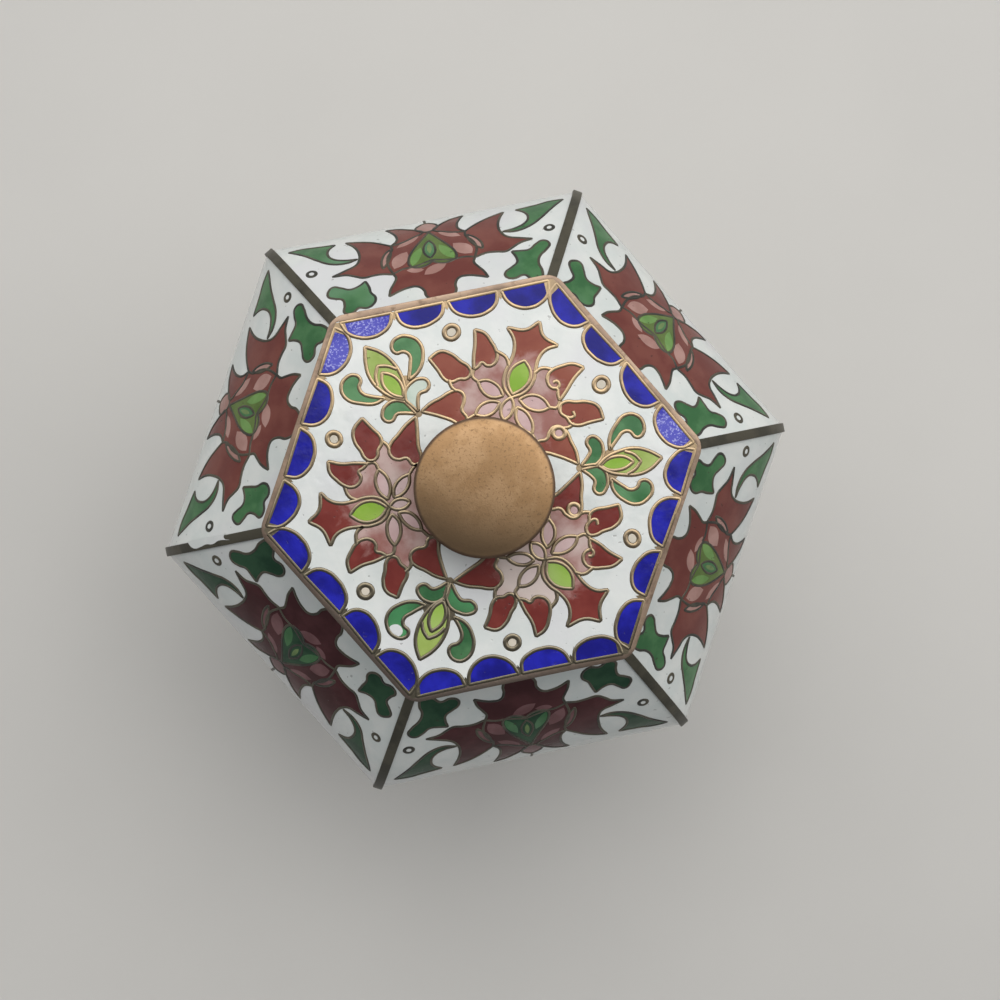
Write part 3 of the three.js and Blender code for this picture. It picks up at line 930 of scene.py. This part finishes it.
def makeLidInlay():
    plan = lidPlan
    groups = {}

    def lay(cells, *where, turn):  # in the lid's plane, turned from facing +Y
        layIn(groups, placed(cells, *where, turn=turn - 90), plan["seed"])

    flowers = [lidFlower("paleRed", right=True), lidFlower(), lidFlower(left=True)]
    # the two sprays towards the lamps get the leaf green with painted light
    sprays = [leafSpray("litGreen"), leafSpray("litGreen", paleBase=True), leafSpray(paleHead=True)]
    for n, (flower, spray) in enumerate(zip(flowers, sprays)):
        lay(flower, turn=60 + 120 * n)
        lay(spray, turn=120 * n)
    border = [cell("blue", scallop(plan["scallopWidth"], plan["scallopDepth"]), 1)]
    bare = [cell("wire", spandrel, plan["bareLevel"], False)]
    bareCorner = [cell("wire", cornerSpandrel, plan["bareLevel"], False)]
    edge = bandInner * flatShare
    for n in range(sides):
        turn = panelAngle(n)
        for x in plan["scallops"]:
            lay(border, (1, -1), (x, edge), turn=turn)
        for x in plan["between"]:
            lay(bare, (1, -1), (x, edge + plan["bareReach"]), turn=turn)
        lay(bareCorner, (1, -1), (0, bandInner + plan["bareReach"]), turn=turn + 30)
        lay(ring(0, plan["ringRadius"], 0.8), turn=turn)
    for colour, bm in groups.items():
        bmesh.ops.translate(bm, vec=(0, 0, lidTop - lidShape["enamelDrop"]), verts=bm.verts)
        bmesh.ops.scale(bm, vec=(mm, mm, mm), verts=bm.verts)
        bmesh.ops.recalc_face_normals(bm, faces=bm.faces)
        finishInlay(bm, "lid_cloisons" if colour == "wire" else f"lid_{colour}_cells", colour)
    print("lid inlaid")


def makeLidSides():
    apothem = lidRadius * flatShare
    side = [Vector((apothem, nodeBox("lid_edge_band")[0].z)), Vector((apothem, nodeBox("lid_rim")[1].z))]
    for n in range(sides):
        groups = {}
        layIn(groups, lidSideSprig(), lidPlan["sideSeed"] + n)
        for colour, bm in groups.items():
            wrapOnto(bm, side, panelAngle(n))
            finishInlay(bm, f"lid_side_{n + 1}_{colour}", colour)


makeLidInlay()
makeLidSides()


# White enamel that ran over the strip on one corner

overflow = {"angle": 180, "lift": 0.06, "overhang": 0.15}


def makeOverflow():
    side = -stripShape["width"] / 2 - overflow["overhang"]
    tongue = [tip(side, 14.6), (-0.1, 14.1), (0.3, 13.3), (0.25, 12.0), (0.05, 10.7), (0.2, 9.5), (-0.1, 8.2),
              tip(0.1, 6.2), (-0.35, 7.2), tip(side, 6.8)]
    groups = {}
    joinIn(groups, "white", slabMesh(tongue, overflow["lift"]))
    bm = groups["white"]
    curve = offsetCurve(bodyProfile(), stripShape["proud"])
    cutAlong(bm, curve)
    wrapOnto(bm, curve, overflow["angle"])
    finishPiece(bm, "enamel_overflow", "white")


makeOverflow()


# Pale floor, large soft lamps around the jar, and the camera straight above the lid

studio = {
    "floor": (0.63, 0.615, 0.59), "floorShade": 0.97, "floorScale": 14, "floorRadius": 1.6, "floorSides": 64,
    "world": (0.92, 0.96, 1.0), "worldStrength": 0.22, "lampDistance": 0.9, "lampColour": (1.0, 0.985, 0.96),
    # each lamp: its bearing, its height in degrees, its width in metres and its watts
    "lamps": {"ceiling": (68, 62, 0.93, 2.75), "key": (64, 50, 0.71, 2.0), "right fill": (5, 50, 0.71, 2.27),
              "left fill": (123, 50, 0.71, 2.13)},
}
cameraPlan = {
    "place": (-4.086, -0.061, 250.29), "aim": (0.03695178, -0.01106346, -0.99925581),
    "up": (0.19824541, 0.98014609, -0.00352091), "lens": 47.68, "sensor": 36.0,
}


def makeFloor():
    bm = bmesh.new()
    bmesh.ops.create_circle(bm, cap_ends=True, segments=studio["floorSides"], radius=studio["floorRadius"])
    mesh = bpy.data.meshes.new("floor")
    bm.to_mesh(mesh)
    bm.free()
    made, tree, shader, place = startMaterial("floor paper", Roughness=0.9)
    shade = rampValue(tree, noiseValue(tree, place, studio["floorScale"], 3), 0.3, 0.7)
    low = tuple(studio["floorShade"] * c for c in studio["floor"])
    tree.links.new(mixColours(tree, shade, low, studio["floor"]), shader.inputs["Base Color"])
    mesh.materials.append(made)
    floor = bpy.data.objects.new("floor", mesh)
    bpy.context.scene.collection.objects.link(floor)


def makeLights():
    s = studio
    for name, (azimuth, elevation, size, power) in s["lamps"].items():
        around, above = math.radians(azimuth), math.radians(elevation)
        level = math.cos(above)
        towards = Vector((math.cos(around) * level, math.sin(around) * level, math.sin(above)))
        data = bpy.data.lights.new(name, "AREA")
        data.shape = "DISK"
        data.size = size
        data.energy = power
        data.color = s["lampColour"]
        lamp = bpy.data.objects.new(name, data)
        lamp.location = towards * s["lampDistance"] + Vector((0, 0, lidTop * mm))
        lamp.rotation_euler = (-towards).to_track_quat("-Z", "Y").to_euler()
        bpy.context.scene.collection.objects.link(lamp)
    world = bpy.data.worlds.new("studio")
    world.use_nodes = True
    sky = world.node_tree.nodes["Background"]
    sky.inputs["Color"].default_value = (*s["world"], 1)
    sky.inputs["Strength"].default_value = s["worldStrength"]
    bpy.context.scene.world = world


def makeCamera():
    c = cameraPlan
    data = bpy.data.cameras.new("camera")
    data.lens = c["lens"]
    data.sensor_width = c["sensor"]
    data.clip_start = 0.01
    camera = bpy.data.objects.new("camera", data)
    back = -Vector(c["aim"]).normalized()
    right = Vector(c["up"]).cross(back).normalized()
    up = back.cross(right)
    turn = Matrix((right, up, back)).transposed().to_4x4()
    camera.matrix_world = Matrix.Translation(Vector(c["place"]) * mm) @ turn
    bpy.context.scene.collection.objects.link(camera)
    bpy.context.scene.camera = camera


makeFloor()
makeLights()
makeCamera()
bpy.context.scene.view_settings.view_transform = "Standard"
print("studio made")
